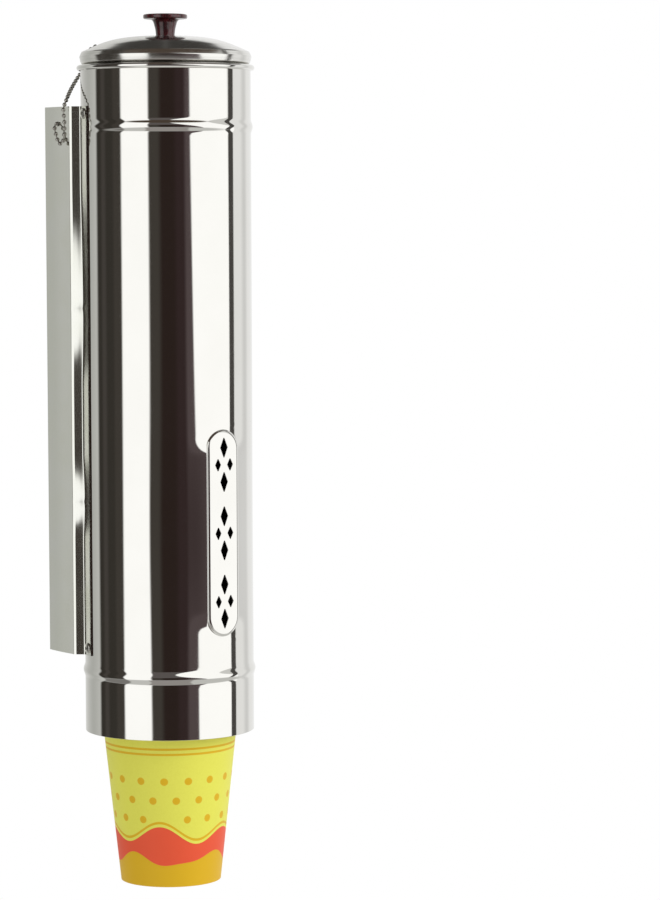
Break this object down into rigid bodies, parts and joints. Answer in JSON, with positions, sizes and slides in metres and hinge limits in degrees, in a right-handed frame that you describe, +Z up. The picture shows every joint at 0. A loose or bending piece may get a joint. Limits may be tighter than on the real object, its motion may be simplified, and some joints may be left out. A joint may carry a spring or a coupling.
{
  "type": "wall-hung cup dispenser",
  "caption": "Polished steel tube on a folded wall bracket, filled with paper cups from under a loose lid and emptied one cup at a time from its foot.",
  "frame": {"origin": "on the wall's surface, at the middle of the bracket's height, in line with the tube's axis", "axes": "+Z up along the tube, +Y into the wall, -Y out to the window in the tube's front, +X to the right seen from the front"},
  "size_m": [0.102, 0.1066, 0.4868],
  "materials": {
    "mirror_steel": "bright polished stainless sheet",
    "satin_steel": "half-polished stainless sheet",
    "rivet_steel": "bright rivets, screw and washer",
    "chain_steel": "nickel-plated beads",
    "dark_foam": "closed-cell foam",
    "liner_paper": "siliconised liner paper",
    "ring_plastic": "moulded",
    "flap_plastic": "soft moulded",
    "dark_bakelite": "moulded, glossy",
    "printed_board": "printed, coated paper board",
    "plain_board": "coated paper board"
  },
  "bodies": {
    "root": {"tube_body": "mirror_steel", "window_grille": "mirror_steel", "wall_bracket": "satin_steel", "bracket_rivet_upper_right": "rivet_steel", "bracket_rivet_upper_left": "rivet_steel", "bracket_rivet_lower_right": "rivet_steel", "bracket_rivet_lower_left": "rivet_steel", "foam_pad_upper": "dark_foam", "foam_pad_lower": "dark_foam", "pad_liner_upper": "liner_paper", "pad_liner_lower": "liner_paper", "retainer_rivet_right": "rivet_steel", "retainer_rivet_left": "rivet_steel", "retainer_ring": "ring_plastic", "retainer_teeth": "flap_plastic", "chain_clasp": "chain_steel", "bead_chain": "chain_steel"},
    "lid": {"lid_shell": "mirror_steel", "lid_knob": "dark_bakelite", "knob_washer": "rivet_steel", "knob_screw": "rivet_steel", "chain_stop": "chain_steel"},
    "stack": {"cup_2_wall": "printed_board", "cup_2_base": "plain_board", "cup_3_wall": "printed_board", "cup_3_base": "plain_board", "cup_4_wall": "printed_board", "cup_4_base": "plain_board", "cup_5_wall": "printed_board", "cup_5_base": "plain_board", "cup_6_wall": "printed_board", "cup_6_base": "plain_board"},
    "lowest_cup": {"cup_1_wall": "printed_board", "cup_1_base": "plain_board"}
  },
  "joints": [
    {"name": "lid_lift", "type": "slide", "parent": "root", "child": "lid", "axis": [0, 0, 1], "range_m": [0, 0.025], "deforming": ["bead_chain"]},
    {"name": "stack_drop", "type": "slide", "parent": "root", "child": "stack", "axis": [0, 0, 1], "range_m": [-0.0073, 0], "deforming": ["retainer_teeth"]},
    {"name": "cup_pull", "type": "slide", "parent": "stack", "child": "lowest_cup", "axis": [0, 0, 1], "range_m": [-0.1, 0], "deforming": ["retainer_teeth"]}
  ]
}
